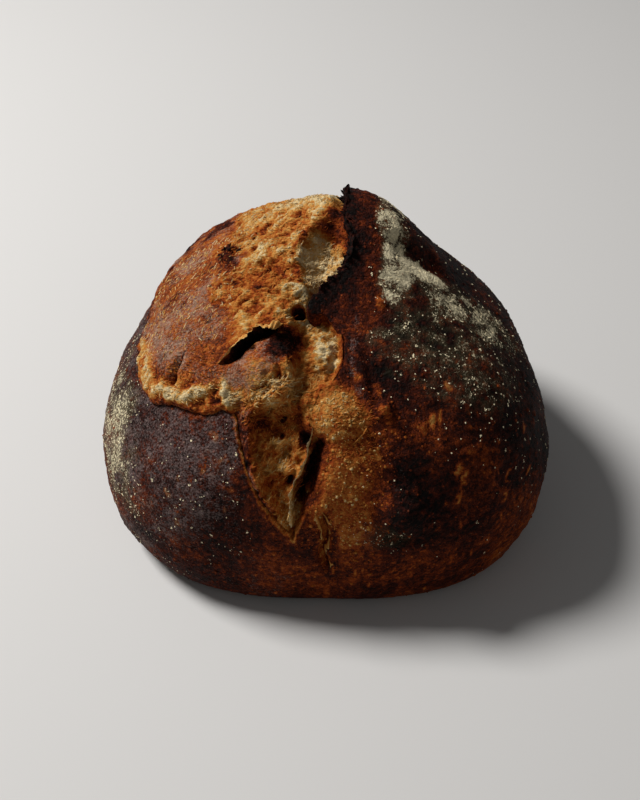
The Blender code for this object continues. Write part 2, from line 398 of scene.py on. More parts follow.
def pits(u, v, centre, reach, count, sizes, depth, seed):
    """Round bubbles in a disc of the map: each sinks the surface by a share of its own radius."""
    rng = np.random.default_rng(seed)
    total = np.zeros(u.shape)
    far_u, far_v = u - centre[0], v - centre[1]
    close = np.flatnonzero(far_u**2 + far_v**2 < (reach + sizes[1] * 2) ** 2)
    far_u, far_v = far_u[close], far_v[close]
    sunk = np.zeros(far_u.shape)
    for _ in range(count):
        turn, out = rng.uniform(0, 2 * np.pi), reach * np.sqrt(rng.uniform())
        radius = rng.uniform(*sizes)
        squash = rng.uniform(0.6, 1)
        du = far_u - out * np.cos(turn)
        dv = (far_v - out * np.sin(turn)) / squash
        q = (du**2 + dv**2) / radius**2
        sunk = np.minimum(sunk, -depth * radius * np.clip(1 - q, 0, 1) ** 0.7)
    total[close] = sunk
    return total


# ---- relief and browning

LEFT, RIGHT, LOBE = flowing(LEFT_EDGE), flowing(RIGHT_EDGE), flowing(LOBE_EDGE)
TEAR = np.vstack([LEFT, RIGHT[::-1][1:-1]])
HOLLOW = np.vstack([LOBE, RIGHT[::-1][1:-1]])


def flap_share(share):
    """1 along the stretch of the right edge where the crust is lifted into an ear."""
    return between(share, 0, 0.6, 0.12, 0.07)


def overhang(u, v):
    """1 along the lobe's left and lower edge, where the lobe bulges over the crust."""
    return falling(u, -40, 6) * rising(v, -81, 6)


def seam(u, v):
    """1 where the torn top runs into the golden bulge without an edge."""
    return patch(u, v, (-4, -84), 8, 12, -20, 0.35)


def unevenness(place):
    """Slow swells that a hand-shaped loaf has all over."""
    return 1.3 * noise(place, 46, 3, 2) + 0.35 * noise(place, 13, 5, 2)


def to_foot(u, v):
    """1 over the loaf and 0 at the foot's edge, where the loaf meets the table."""
    return smooth((CRUST_LENGTH - np.hypot(u, v)) / 25)


def beside_slot(side, share):
    """1 on the crust along the slot's right side, by its side and share of the right edge."""
    return between(share, 0.78, 0.97, 0.04, 0.05) * (np.abs(side) < 16)


def toward(values, goal, share):
    """The values, moved by a share of the way to a goal."""
    return values * (1 - share) + goal * share


def dots(u, v, centres, half_wide, half_tall):
    """A mask of soft dots, one at each centre."""
    return np.maximum.reduce([patch(u, v, middle, half_wide, half_tall) for middle in centres])


def crust_looks(u, v):
    """The crust at each address: its place in millimetres and its masks.

    Height: slow unevenness, low rounded bumps, the swells, the creases and the ear's lip. The crust
    is a little lower under the lobe's overhang and beside the slot. Past the tear's ragged outline,
    a wall runs down to the hidden bed. The ear's lip also leans over the tear.
    """
    base = crust(u, v)
    along_u, along_v, out = directions(u, v)
    torn, inward = inset(TEAR, u, v)
    side, share, _ = measure(RIGHT, u, v)
    flap = flap_share(share) * (np.abs(side) < 40)
    over, joined = overhang(u, v), seam(u, v)
    ragged = torn + (0.8 + flap) * noise(base, 5, 21) + 0.5 * noise(base, 1.6, 23, 2)
    bumps = np.abs(noise(base, 4, 31))

    height = unevenness(base) + 0.45 * bumps + swells(u, v, CRUST_SWELLS)
    height += groove(SIDE_TEAR, u, v, 3, SIDE_TEAR_DEPTH)
    height += groove(FLOUR_CREASE, u, v, 5, CREASE_DEPTH)
    height += groove(SIDE_CRACK, u, v, 1.2, -2.2, 0.3)
    height += EAR_LIP * flap * np.exp(-np.abs(side) / 12)
    height -= 1.4 * over * bell(torn + 0.5, 3)
    height += 0.5 * bell(torn + 1.6, 1.6) * without(flap, joined, over)
    by_slot = beside_slot(side, share)
    height -= 2.2 * by_slot * bell(torn, 4)
    wall = 1.4 + 6 * flap + 9 * joined + 2.5 * by_slot + 2.2 * falling(v, -78, 6)
    sunk = smooth(ragged / wall)
    height = toward(height * to_foot(u, v), BED_DEPTH, sunk)
    lean = 2.6 * flap * bell(np.minimum(torn, 0), 7) * (1 - rising(torn, 1, 4))
    place = base + out * height[:, None]
    place += in_space(along_u, along_v, inward) * lean[:, None]
    return place, crust_masks(u, v, base, torn, ragged, side, share, flap, bumps)


def crust_masks(u, v, base, torn, ragged, side, share, flap, bumps):
    """How dark, dull, floury and speckled the crust is at each address.

    bake runs from 0, pale crumb, by golden and brown to 1, black. It is paler round the golden bulge
    and on spots and streaks, blacker along the ear's rim, and darker beside the slot as painted
    shade. ash is a grey film on the left side, and flour lies on the right shoulder, on the far left
    and below the burnt hump. On the far left's rim the flour is partly a painted highlight.
    """
    drift = u + 1.2 * noise(base, 3, 57, 2), v + 1.2 * noise(base, 3, 58, 2)
    left = smooth((-u - 24 + 9 * noise(base, 24, 60)) / 28)
    bake = 0.83 + 0.08 * rising(u, 18, 12) * rising(v, -95, 30)
    bulge = patch(*drift, (6, -90), 18, 15, 0, 0.3)
    young = np.maximum(bulge, 0.8 * patch(u, v, (12, -118), 22, 36))
    bake -= 0.36 * young + 0.09 * bulge
    bake += tones(u, v, CRUST_TONES)
    bake -= 0.1 * flap * bell(-torn - 11, 6)
    bake -= 0.12 * smooth((np.hypot(u, v) - 140) / 30) * rising(u, 50, 20)
    bake += 0.09 * noise(base, 17, 41)
    bake -= 0.15 * (bumps - 0.3) * (1 - 0.5 * left)
    bake -= 0.3 * dots(*drift, TAN_BUMPS, 2.4, 2.6)
    bake -= 0.48 * dots(*drift, STREAKS, 1.1, 3.6)
    side_tear, tear_share, _ = measure(flowing(SIDE_TEAR), u, v)
    tear_line = -0.3 * bell(side_tear, 3) + 0.42 * bell(side_tear - 0.9, 1)
    bake += fade(tear_share) * (tear_line + 0.16 * bell(side_tear - 6, 3))
    # Painted shade of the membrane: the crust along the slot's right side is darkened.
    by_slot = beside_slot(side, share)
    slot_edge = by_slot * smooth((torn + 5 + 2 * noise(base, 4, 59, 2)) / 4)
    bake += 0.16 * slot_edge
    burnt_rim = (2 + 1.8 * noise(base, 4, 44, 2)) * (1 + 1.2 * falling(v, 2, 12))
    char = flap * bell(np.maximum(-torn - 0.8, 0), burnt_rim)
    scorch = bell(np.maximum(-torn, 0), 7) * (noise(base, 6, 43, 2) > 0.1)
    char = np.maximum(char, 0.6 * flap * scorch)
    bake = toward(bake, 1, char)
    inner = rising(ragged, -0.3, 1.2)
    # Beside the slot the wall is painted darker too, as painted shade.
    bake = toward(bake, 0.46 + 0.38 * flap + 0.3 * by_slot, inner)
    rim_line = 0.8 * bell(ragged + 0.2, 0.9) * falling(v, -72, 6) * without(flap, slot_edge)
    bake = toward(bake, 0.28, rim_line)

    spots = dots(*drift, PALE_SPOTS, 1.6, 2.2) * left
    spots *= np.clip(0.7 + noise(base, 2, 56, 2), 0, 1)
    ash = 0.95 * left * (1 - 0.55 * falling(v, -116, 26))
    ash += 0.3 * patch(u, v, (42, -120), 19, 16, 0, 0.6)
    fold, fold_share, _ = measure(flowing(GREY_FOLD), u, v)
    grey = fade(fold_share) * bell(fold, 2.4)
    ash += 0.8 * grey
    ash *= 0.9 + 0.25 * noise(base, 22, 47)
    bake -= 0.3 * spots

    dense = patch(*drift, (30, -8), 24, 9.5, 88, 0.35)
    cream = patch(*drift, (44, -10), 14, 5, 4, 0.4)
    dense = np.maximum(dense, 0.8 * patch(*drift, (32, 20), 9, 22, -18))
    band = patch(u, v, (74, -16), 36, 14, 8, 0.6)
    field = patch(u, v, (58, -42), 46, 30, 5)
    everywhere = 0.04 + 0.1 * rising(v, -100, 30)
    flour = np.maximum.reduce([0.84 * dense, 0.62 * band, 0.39 * field, everywhere])
    flour *= np.clip(1 + 0.55 * noise(base, 4, 53), 0.3, 1.5) * rising(u, 14, 6)
    flour = np.maximum(flour, 1.3 * cream)
    flour = np.maximum(flour, 0.95 * dots(*drift, FLOUR_SPOTS, 1.8, 1.5))
    flour *= 1 - 0.75 * rising(torn, -12, 4) * (share < 0.6) * (side < 20)
    # The far left's rim: flour, and also a painted highlight standing in for the window light's sheen
    # along that rim.
    rim = patch(u, v, (-118, -52), 50, 22, 78, 0.7)
    rim *= np.clip(0.7 + 1.3 * noise(base, 9, 55), 0.1, 1.5)
    flour = np.maximum(flour, left * (0.14 + 0.4 * rim + 0.5 * spots))
    flour = np.maximum(flour, 0.36 * patch(*drift, (36, -142), 26, 9, 8, 0.6))
    flour *= without(inner, char) * (1 - 0.7 * grey)

    return {
        "bake": np.clip(bake, 0, 1),
        "ash": np.clip(ash * (1 - 0.5 * spots) * (1 - inner), 0, 1),
        "flour": np.clip(flour, 0, 1.2),
        "spots": np.clip(0.35 + 0.5 * patch(u, v, (16, -122), 26, 44, 0, 0.6), 0, 1),
        "streaks": np.clip(0.15 + 0.6 * patch(u, v, (92, -96), 36, 60, 0, 0.6), 0, 1),
    }


def crumb_looks(u, v):
    """The torn top at each address: its place in millimetres and its masks.

    Height: the lobe's swell, its lumpy lower band, the valley between lobe and ear, the crevice, the
    slot and the membrane's ridge, the swells and hollows, then strands, bubbles, crumbs and a small
    step on the lobe. Past the tear's ragged outline it dives under the crust. The crevice's upper
    lip leans over it, and the lobe's band leans over the crust.

    bake is palest in the valley's pocket, on the crumb wall and along the lobe's band, and darkest
    in the crevice, the slot, the holes and under the ear, where the darkness is painted shade. ash
    lies on the lobe's skin.
    """
    base = crust(u, v)
    along_u, along_v, out = directions(u, v)
    flat = np.stack([u, v, 0 * u], -1)
    torn, inward = inset(TEAR, u, v)
    valley, _ = inset(HOLLOW, u, v)
    valley = valley + 1.3 * noise(base, 8, 63)
    side, share, _ = measure(RIGHT, u, v)
    lip, lip_share, lip_across = measure(flowing(CREVICE), u, v)
    slot_side, slot_share, _ = measure(flowing(SLOT), u, v)
    slot_side = slot_side + 1.3 * noise(flat, 5, 65)
    over, joined = overhang(u, v), seam(u, v)
    under_ear = flap_share(share) * (np.abs(side) < 30)

    lumps = noise(flat, 4.5, 101)
    grit = noise(flat, 2.2, 73)
    in_valley = smooth(valley / 3.5) * (1 - 0.45 * rising(v, -32, 12))
    in_valley *= 1 - 0.4 * falling(v, -116, 12)
    on_lobe = 1 - smooth(valley / 4 + 0.5)
    skin = on_lobe * smooth((-37 - u + 9 * noise(flat, 20, 61, 4) - 0.1 * (v + 10)) / 12)
    mound = patch(u + lumps, v + lumps, (-29, -59), 13, 9, 25, 0.4)
    band = over * bell(torn - 4, 5) * falling(v, -14, 14)
    pale = patch(u + lumps, v + grit, (-1, -56), 9.5, 15, 4, 0.25)
    trough = patch(u, v, (-12, -58), 14, 24)
    pocket_q = patch(u + 1.2 * lumps, v + grit, (0, -14), 9, 15)
    pocket = smooth(pocket_q * 3 - 0.6)
    wedge = falling(v, -78, 8)
    rough = (1 - skin) * (1 - 0.8 * mound) * (1 - 0.45 * rising(v, 40, 20))
    step_up = bell(v + 8 + 2.5 * lumps + 0.15 * (u + 20), 2.2)
    step_up *= patch(u, v, (-19, -8), 15, 8, 0, 0.4)
    gap = fade(lip_share, 0.3)
    above, below = smooth(lip / 1.2 + 0.5) * gap, smooth(0.5 - lip / 1.2) * gap

    near_right = np.abs(side) < torn + 1.5
    height = EDGE_GROOVE * bell(torn - 1.2, 1.8) * near_right * (1 - joined)
    height *= 1 - 0.7 * between(share, 0.57, 0.8, 0.02, 0.02)
    height -= 1.6 * bell(torn, 1.6) * without(over, near_right)
    height += LOBE_SWELL * smooth(torn / 16) * on_lobe
    height += LOBE_BAND * over * bell(torn - 3, 4.5)
    height += VALLEY * in_valley * (1 - 0.9 * joined) * (1 - 0.55 * trough)
    height += CREVICE_DEPTH * below * bell(lip, 3.8) + CREVICE_LIP * above * np.exp(-np.abs(lip) / 9)
    height += SLOT_DEPTH * fade(slot_share) * bell(slot_side, 3.2)
    height += groove(MEMBRANE, u, v, 1.3, MEMBRANE_RIDGE)
    height += groove(SKIN_CRACK, u, v, 1.6, -3, 0.3)
    height += swells(u, v, CRUMB_SWELLS) - 2.6 * pocket - 1.2 * pale

    bent = u + 3 * noise(flat, 10, 107), v + 3 * noise(flat, 10, 108)
    strands = ridges(stretched(*bent, 12, 7, 1.8), 1, 71)
    height += (strands - 0.5) * on_lobe * rough * (1 - band)
    height += (0.15 + 0.5 * rough) * grit * (1 - 0.5 * np.maximum(pale, pocket))
    height += 1.7 * band * lumps
    height += (0.3 + 0.55 * rough) * noise(flat, 7, 75)
    height += 1.8 * step_up - 0.9 * patch(u, v, (-20, -15), 13, 6)
    height += 0.18 * skin * ridges(stretched(u, v, 52, 4.5, 1.2), 1, 77, 2)
    cells = pits(u, v, *WALL_BUBBLES)
    height += unevenness(base) + cells + sum(pits(u, v, *disc) for disc in BUBBLES)

    ragged = torn + 1.1 * noise(base, 5, 91) + 0.9 * over * lumps
    dive = smooth((0.2 - 2.2 * joined - 1.8 * over - torn - 0.5 * (ragged - torn)) / 1.6)
    height = toward(height, CRUMB_DIVE, dive)
    place = base + out * height[:, None]
    lean = 2.8 * above * np.exp(-np.abs(lip) / 3)
    place -= in_space(along_u, along_v, lip_across) * lean[:, None]
    spill = 1.6 * over * bell(torn - 1, 3) * (1 - dive)
    place -= in_space(along_u, along_v, inward) * spill[:, None]

    bake = 0.33 + 0.27 * skin + 0.14 * mound + tones(u, v, CRUMB_TONES)
    # Painted shade: the mound's upper part, just below the crevice, is darkened.
    bake += 0.34 * patch(u + lumps, v + grit, (-20, -54), 9, 7, 60)
    bake += 0.12 * rising(v, 66, 20)
    scorched = between(v, 34, 64, 10, 12) * falling(u, -16, 14)
    bake += 0.24 * scorched * smooth(1.5 * noise(flat, 8, 103) + 0.1)
    bake -= 0.14 * bell(valley + 2.5, 4) * between(v, -36, 60, 6, 20)
    bake += tones(*bent, BENT_TONES) - 0.16 * step_up
    bake = np.maximum(bake, 0.75 * bell(measure(flowing(SKIN_CRACK), u, v)[0], 1.3))
    # The band is cream. Its lump tops are painted paler and its gaps browner, partly real colour and
    # partly painted highlight and shade.
    bake -= band * (0.46 + 0.55 * lumps)
    bake += 0.26 * over * between(v, -34, 26, 12, 16) * bell(torn - 1.5, 2.2) * (1 + lumps)
    bake -= 0.24 * pale + 0.34 * pocket
    bake += pale * (0.2 + 0.12 * np.clip(cells, -1.6, 0))
    bake += 0.16 * trough * falling(u, -8, 6) * (1 - mound)
    bake += 0.28 * patch(u, v, (-10, -91), 5, 8) * (1 - joined)
    bake += 0.3 * smooth(pocket_q * 5) * smooth(1.8 - pocket_q * 6)
    bake -= 0.2 * pale * np.maximum(0, -lumps)
    bake += 0.12 * wedge * bell(torn - 1, 6) * (u < -20) * rising(v, -128, 10)
    bake += 0.34 * patch(u + lumps, v + 2 * grit, (-10, -98), 4, 8, -10, 0.4)
    bake += 0.16 * patch(u, v, (-24, -88), 16, 8) * (0.7 + grit)
    bake += 0.05 * wedge * (1 - patch(u, v, (-26, -134), 9, 12))
    bake += 0.13 * noise(flat, 9, 93) * (0.4 + 0.6 * rough)
    bake += wedge * (0.14 * noise(flat, 5.5, 94, 2) - 0.03)
    bake -= 0.22 * (strands - 0.45) * rough * on_lobe + 0.12 * grit * rough
    bake -= 0.07 * skin * (ridges(stretched(u, v, 52, 7, 1.4), 1, 105, 2) - 0.5)
    edge = bell(torn, 1.6) * without(band, joined)
    bake += 0.3 * edge * (1 - 0.7 * wedge) * (1 - 0.8 * over)
    # Painted shade: the crumb beside the ear is darkened where the ear's lip hangs over it.
    bake += 0.42 * under_ear * bell(torn, 3) * (1 - 0.6 * pocket)
    bake = toward(bake, 0.4 + 0.16 * grit, joined)
    bake -= 0.34 * patch(u + grit, v + grit, (-14, -38), 7.5, 6, 0, 0.25)
    redwall = flap_share(share) * patch(u + 1.5 * lumps, v + 2 * grit, (9, 5), 8, 13, 0, 0.3)
    bake = toward(bake, 0.72 + 0.14 * lumps, redwall)
    bake = np.maximum(bake, 0.22 * wedge)
    # Near-black marks: painted shade in the crevice under its lip, in the slot beside the membrane and
    # in the small holes, and the real burnt fleck on the lobe.
    burnt = [
        0.98 * gap * falling(lip, 1.2, 0.8) * bell(lip, 4.2),
        (0.86 + 0.1 * grit) * fade(slot_share, 0.12) * np.exp(-((slot_side / 3) ** 4)),
        *(browning * patch(u, v, *hole) for *hole, browning in SHADED_HOLES),
        (0.86 + 0.1 * grit) * patch(u + lumps, v + 2 * grit, (-44, 5), 8.5, 4.5, 75, 0.3),
    ]
    # Painted shadow: a dark line where the lobe's band overhangs the crust.
    bake += 0.2 * bell(torn + 0.5, 1.3) * over * (1 + lumps)
    bake = np.maximum(bake, np.maximum.reduce(burnt))
    black = rising(bake, 0.68, 0.14)
    ash = skin * (1 - band) * (0.85 + 0.5 * noise(flat, 16, 109, 2)) + 0.9 * mound
    ash *= 1 - 0.8 * black
    return place, {
        "bake": np.clip(bake, 0, 1),
        "ash": np.clip(ash, 0, 1.1),
        "flour": 0.3 * skin * without(band, black),
        "spots": 0.25 + 0.4 * skin,
        "streaks": 0.3 * skin,
    }


# ---- meshes


def make_piece(name, places, faces, masks, material):
    """A mesh object from places in millimetres, faces and named masks on its vertices."""
    mesh = bpy.data.meshes.new(name)
    mesh.from_pydata((places * MM).tolist(), [], faces)
    for mask, values in masks.items():
        layer = mesh.attributes.new(mask, "FLOAT", "POINT")
        layer.data.foreach_set("value", np.asarray(values, np.float32))
    mesh.shade_smooth()
    mesh.materials.append(material)
    piece = bpy.data.objects.new(name, mesh)
    bpy.context.scene.collection.objects.link(piece)
    return piece


def grid_faces(rows, columns):
    """Quads of a grid whose vertices run row by row, facing the way rows cross columns."""
    index = np.arange(rows * columns).reshape(rows, columns)
    corners = [index[:-1, :-1], index[:-1, 1:], index[1:, 1:], index[1:, :-1]]
    return np.stack(corners, -1).reshape(-1, 4).tolist()


def rim_of(rows, columns):
    """The grid's border vertices, once round, in the faces' own order."""
    index = np.arange(rows * columns).reshape(rows, columns)
    return np.concatenate([index[0, :-1], index[:-1, -1], index[-1, :0:-1], index[:0:-1, 0]])


def fan(ring, tip):
    """Triangles from a closed ring of vertices to one point."""
    return [[a, tip, b] for a, b in zip(ring.tolist(), np.roll(ring, -1).tolist())]


def tube_faces(rings, sides):
    """A tube's quads, whose vertices run ring by ring, and the two faces that cap its ends."""
    index = np.arange(rings * sides).reshape(rings, sides)
    after = np.roll(index, -1, axis=1)
    quads = np.stack([index[:-1], after[:-1], after[1:], index[1:]], -1).reshape(-1, 4)
    return quads, (index[0, ::-1], index[-1])


def drawn(u, v, paths, share, reach, amount):
    """Addresses drawn in towards paths, so that the grid is finer along a torn edge."""
    for path in paths:
        side, _, across = measure(path, u, v)
        pull = share * bell(side, reach) * amount
        u = u - across[:, 0] * np.abs(side) * pull
        v = v - across[:, 1] * np.abs(side) * pull
    return u, v


def crust_piece(material):
    """The crust: a square grid folded over the whole loaf as a disc of the map, closed beneath by
    rings that shrink to the middle of the flat base."""
    line = np.linspace(-1, 1, CRUST_CELLS)
    y, x = (a.ravel() for a in np.meshgrid(line, line, indexing="ij"))
    disc_x, disc_y = x * np.sqrt(1 - y**2 / 2), y * np.sqrt(1 - x**2 / 2)
    reach = np.hypot(disc_x, disc_y)
    spread = CRUST_LENGTH * (GRID_EVEN + (1 - GRID_EVEN) * reach**2)
    inner = np.clip(1 - reach**2, 0, 1)
    u = disc_x * spread + GRID_SHIFT[0] * inner
    v = disc_y * spread + GRID_SHIFT[1] * inner
    amount = np.clip(inner * 6, 0, 1)
    u, v = drawn(u, v, [np.vstack([TEAR, TEAR[:1]])], share=0.62, reach=16, amount=amount)
    places, masks = crust_looks(u, v)
    rim = rim_of(CRUST_CELLS, CRUST_CELLS)
    places[rim, 2] = 0
    border = places[rim]
    middle = border.mean(0)
    faces = grid_faces(CRUST_CELLS, CRUST_CELLS)
    last, top = rim, len(places)
    for share in (0.93, 0.8, 0.6, 0.35):
        here = len(places) + np.arange(len(rim))
        places = np.vstack([places, middle + (border - middle) * share])
        faces += np.stack([last, here, np.roll(here, -1), np.roll(last, -1)], -1).tolist()
        last = here
    faces += fan(last, len(places))
    places = np.vstack([places, middle])
    under = {"bake": 0.72, "ash": 0.1, "flour": 0.12, "spots": 0.3, "streaks": 0}
    for name, value in under.items():
        masks[name] = np.append(masks[name], np.full(len(places) - top, value))
    return make_piece("dark_crust", places, faces, masks, material)


def crumb_piece(material):
    """The torn top: a grid over the tear's part of the map, whose border lies under the crust and
    is closed by a fan to one point inside the loaf."""
    u_line = np.linspace(*CRUMB_U, CRUMB_COLUMNS)
    v_line = np.linspace(*CRUMB_V, CRUMB_ROWS)
    v, u = (a.ravel() for a in np.meshgrid(v_line, u_line, indexing="ij"))
    edge = np.minimum.reduce([u - CRUMB_U[0], CRUMB_U[1] - u, v - CRUMB_V[0], CRUMB_V[1] - v])
    ways = [LOBE, np.vstack([TEAR, TEAR[:1]]), flowing(CREVICE), flowing(SLOT)]
    u, v = drawn(u, v, ways, share=0.45, reach=8, amount=smooth(edge / 10))
    places, masks = crumb_looks(u, v)
    faces = grid_faces(CRUMB_ROWS, CRUMB_COLUMNS) + fan(rim_of(CRUMB_ROWS, CRUMB_COLUMNS), len(places))
    places = np.vstack([places, CRUMB_TIP])
    masks = {name: np.append(values, 0.3) for name, values in masks.items()}
    return make_piece("torn_top", places, faces, masks, material)


def walk(points, step):
    """Evenly spaced addresses along a smooth path, and the unit direction to its left."""
    path = flowing(points, 12)
    length = np.concatenate([[0], np.cumsum(np.hypot(*np.diff(path, axis=0).T))])
    at = np.linspace(0, length[-1], max(int(length[-1] / step), 8))
    u, v = np.interp(at, length, path[:, 0]), np.interp(at, length, path[:, 1])
    run = unit(np.stack([np.gradient(u), np.gradient(v)], -1))
    return at, u, v, np.stack([-run[:, 1], run[:, 0]], -1)


def torn_fin(points, looks, seed, tall, thick=0.5, lean=0.4, wander=0.5, shift=0, teeth=0.6):
    """A thin torn edge that stands on a surface along a path: a flat lens carried along the path,
    whose height and side-step follow noise, so that its rim is ragged. Returns places, faces and
    each vertex's share of the way up."""
    at, u, v, left = walk(points, 0.45)
    line = np.stack([at, 0 * at, 0 * at + seed], -1)
    off = shift + wander * noise(line, 5, seed)
    u, v = u + left[:, 0] * off, v + left[:, 1] * off
    root = looks(u, v)[0]
    along_u, along_v, out = directions(u, v)
    sideways = in_space(along_u, along_v, left)
    grow = fade(at / at[-1], 0.1)
    rise = tall * grow * np.clip(1 + teeth * noise(line, 3, seed + 9), 0.12, 2.2)
    section = np.linspace(0, 2 * np.pi, 11)[:-1]
    up = (1 - np.cos(section)) / 2
    wide = np.sin(section) * (1 - 0.75 * up) * thick
    bend = lean * rise * (1 + 0.6 * noise(line, 7, seed + 17, 2))
    lift = up * (rise[:, None] + 1) - 1
    aside = wide * (0.25 + 0.75 * grow[:, None]) + up**2 * bend[:, None]
    places = root[:, None] + out[:, None] * lift[..., None] + sideways[:, None] * aside[..., None]
    quads, caps = tube_faces(len(at), len(section))
    faces = quads.tolist() + [cap.tolist() for cap in caps]
    return places.reshape(-1, 3), faces, np.tile(up, len(at))


def gather(parts):
    """Joins (places, faces, masks) parts, which all have the same masks, into one set."""
    faces, base = [], 0
    for places, sides, _ in parts:
        faces += [[index + base for index in side] for side in sides]
        base += len(places)
    masks = {name: np.concatenate([part[2][name] for part in parts]) for name in parts[0][2]}
    return np.vstack([part[0] for part in parts]), faces, masks


# Torn fins: path, surface, browning of the root and of the rim, sizes.
FINS = [
    (MEMBRANE, crumb_looks, 0.22, 0.04, dict(tall=2.8, thick=0.3, lean=-0.3, wander=0.7, teeth=0.8)),
    (CREVICE, crumb_looks, 0.3, 0.12, dict(tall=1.6, thick=0.35, lean=-1.2, shift=0.9, teeth=0.9)),
    (RIGHT_EDGE[2:9], crust_looks, 0.95, 1,
     dict(tall=1.6, thick=0.9, lean=0.6, shift=-0.8, wander=1, teeth=0.7)),
    (SIDE_TEAR, crust_looks, 0.4, 0.1, dict(tall=2, thick=0.35, lean=0.5, shift=1.9, teeth=0.8)),
    (SIDE_TEAR[:3], crust_looks, 0.4, 0.12,
     dict(tall=1.5, thick=0.35, lean=-0.5, shift=-2.4, teeth=0.8)),
    (BRIDGE_LIP, crumb_looks, 0.35, 0.15, dict(tall=0.9, thick=0.4)),
    (BULGE_LIP, crust_looks, 0.45, 0.25, dict(tall=0.8, thick=0.4)),
]


def edge_piece(material):
    """The torn fins as one piece: the lips and thin skins along the tears."""
    parts = []
    for k, (points, looks, root_bake, rim_bake, sizes) in enumerate(FINS):
        places, faces, up = torn_fin(points, looks, 200 + 31 * k, **sizes)
        parts.append((places, faces, {"bake": root_bake + (rim_bake - root_bake) * up}))
    return make_piece("torn_edges", *gather(parts), material)


def scatter(seed, count, chance, low, high):
    """Random addresses in a box of the map, kept by a chance between 0 and 1 that depends on place."""
    rng = np.random.default_rng(seed)
    u, v = rng.uniform(low[0], high[0], count), rng.uniform(low[1], high[1], count)
    keep = (rng.uniform(0, 1, count) < chance(u, v)) & (np.hypot(u, v) < CRUST_LENGTH - 6)
    return u[keep], v[keep], rng


def bits_mesh(centres, axes, shape, sides):
    """Copies of one small closed shape: each copy is placed at its centre and stretched along its own
    three axes. Returns places and faces."""
    places = centres[:, None] + np.einsum("ka,nac->nkc", shape, axes)
    offset = np.arange(len(centres)) * len(shape)
    faces = []
    for side in sides:
        faces += (offset[:, None] + np.array(side)).tolist()
    return places.reshape(-1, 3), faces


def tangent_axes(u, v, rng, along, across, tall):
    """Axes that lie in the crust at a random turn, with lengths along, across and outward."""
    along_u, along_v, out = directions(u, v)
    turn = rng.uniform(0, 2 * np.pi, len(u))[:, None]
    first = along_u * np.cos(turn) + along_v * np.sin(turn)
    second = np.cross(out, first)
    return np.stack([first * along[:, None], second * across[:, None], out * tall[:, None]], 1)


GRAIN = np.array([(1, 0, 0), (0, 1, 0), (-1, 0, 0), (0, -1, 0), (0, 0, 1), (0, 0, -0.8)], float)
GRAIN_SIDES = [(0, 1, 4), (1, 2, 4), (2, 3, 4), (3, 0, 4), (1, 0, 5), (2, 1, 5), (3, 2, 5), (0, 3, 5)]


def flour_piece(material):
    """Loose flour: flat eight-sided grains in small clumps, thick on the right flap's shoulder and
    thinner below. Each seed becomes one to nine grains, spread round it."""

    def chance(u, v):
        return np.clip(crust_looks(u, v)[1]["flour"], 0, 1) ** 1.3

    u, v, rng = scatter(150, FLOUR_SEEDS, chance, (-150, -150), (150, 60))
    count = 1 + np.floor(9 * rng.uniform(0, 1, len(u)) ** 3).astype(int)
    spread = rng.uniform(0.1, 0.45, len(u))
    u, v, spread = (np.repeat(values, count) for values in (u, v, spread))
    u, v = u + spread * rng.normal(0, 1, len(u)), v + spread * rng.normal(0, 1, len(u))
    some = inset(TEAR, u, v)[0] < -2
    u, v = u[some], v[some]
    size = 0.12 + 0.36 * rng.uniform(0, 1, len(u)) ** 2
    axes = tangent_axes(u, v, rng, size, size * rng.uniform(0.6, 1, len(u)), size * 0.55)
    centres = crust_looks(u, v)[0] + axes[:, 2] * 0.4
    places, faces = bits_mesh(centres, axes, GRAIN, GRAIN_SIDES)
    return make_piece("loose_flour", places, faces, {}, material)


def dome_shape(sides=7):
    """A low dome with a closed, flat underside: two rings of a unit disc's places and the top."""
    turn = np.linspace(0, 2 * np.pi, sides, endpoint=False)
    ring = np.stack([np.cos(turn), np.sin(turn), 0 * turn], -1)
    quads, (underside, upper) = tube_faces(2, sides)
    places = np.vstack([ring - [0, 0, 0.5], 0.5 * ring + [0, 0, 0.75], [0, 0, 1]])
    return places, quads.tolist() + [underside.tolist()] + fan(upper[::-1], len(places) - 1)


def blister_piece(material):
    """Fine blisters: low domes that follow the crust, closest together beside and below the tear,
    with paler tops."""

    def chance(u, v):
        torn, _ = inset(TEAR, u, v)
        near = patch(u, v, (12, -124), 30, 48, 0, 0.6)
        return np.where(torn < -2, 0.1 + 0.9 * near, 0)

    u, v, rng = scatter(160, BLISTERS, chance, (-150, -185), (160, 120))
    size = 0.4 + 0.9 * rng.uniform(0, 1, len(u)) ** 3.5
    axes = tangent_axes(u, v, rng, size, size * rng.uniform(0.55, 1, len(u)), size * 0.5)
    shape, sides = dome_shape()
    centres, masks = crust_looks(u, v)
    places, faces = bits_mesh(centres, axes, shape, sides)
    top = np.clip(shape[:, 2], 0, 1)
    paler = 0.1 + 0.22 * patch(u, v, (10, -118), 32, 48, 0, 0.6)
    bake = (masks["bake"] - 0.1 * rng.uniform(0, 1, len(u)))[:, None] - paler[:, None] * top
    ash = np.repeat(masks["ash"], len(shape))
    return make_piece("fine_blisters", places, faces, {"bake": bake.ravel(), "ash": ash}, material)


